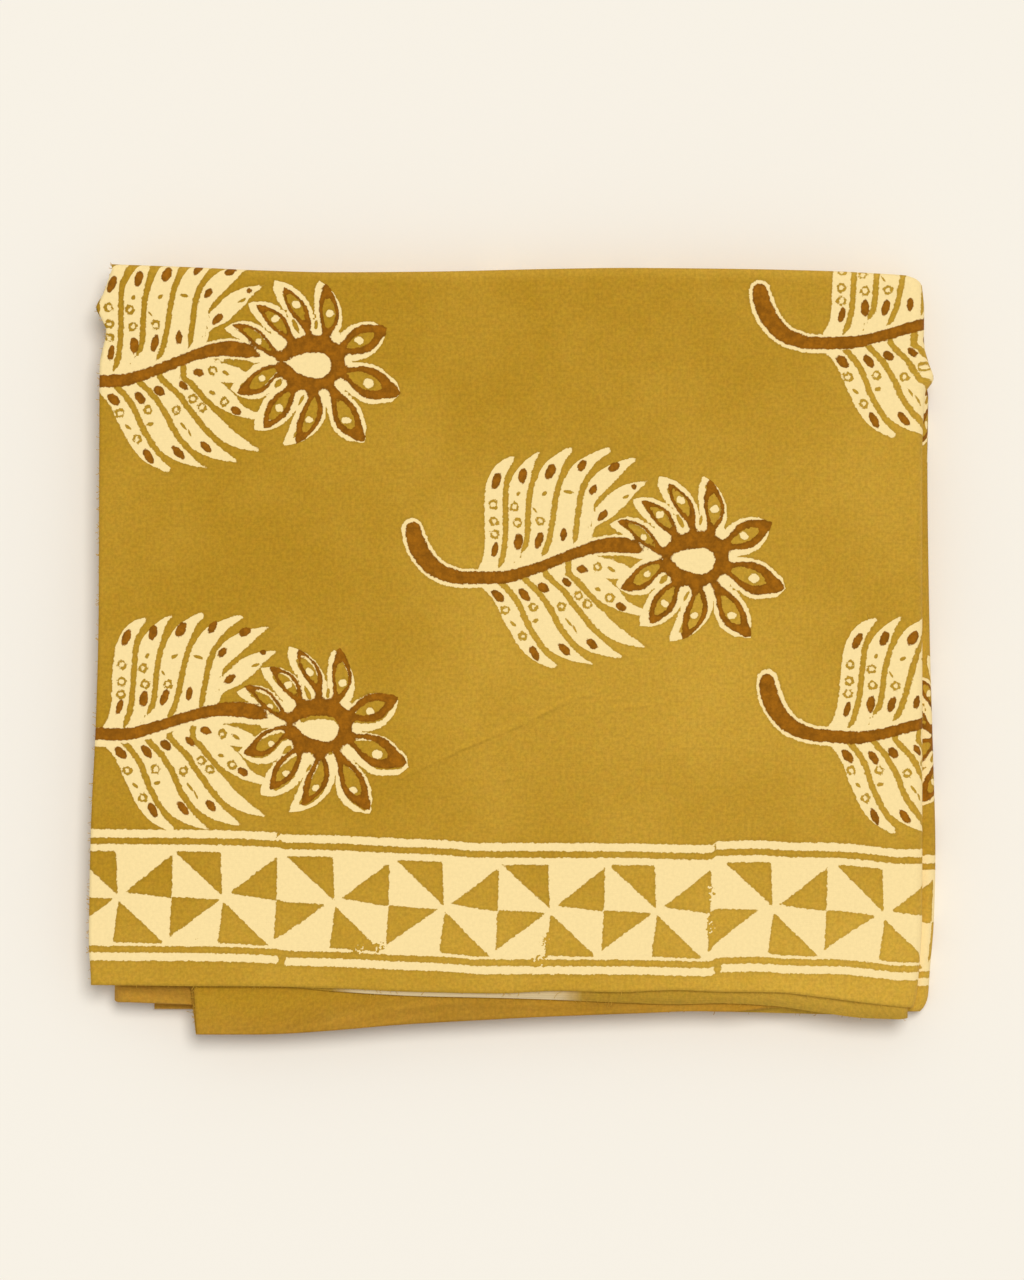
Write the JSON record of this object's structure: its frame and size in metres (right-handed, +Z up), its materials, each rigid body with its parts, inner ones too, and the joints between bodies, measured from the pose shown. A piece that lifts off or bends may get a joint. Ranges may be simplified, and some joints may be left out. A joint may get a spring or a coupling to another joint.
{
  "type": "folded dabu print fabric",
  "caption": "Length of mustard block-printed cotton with a flower and pinwheel border print, folded flat for a shelf.",
  "frame": {"origin": "middle of the underside of the folded bundle, on the surface that it lies on", "axes": "+X runs along the strip from its cut end towards the first turn, +Y from the selvedges towards the folded edge, +Z up out of the printed face"},
  "size_m": [0.3288, 0.2992, 0.0217],
  "materials": {
    "printed_cotton": "matte hand-block-printed plain-weave cotton"
  },
  "bodies": {
    "root": {"cloth": "printed_cotton"}
  },
  "joints": []
}
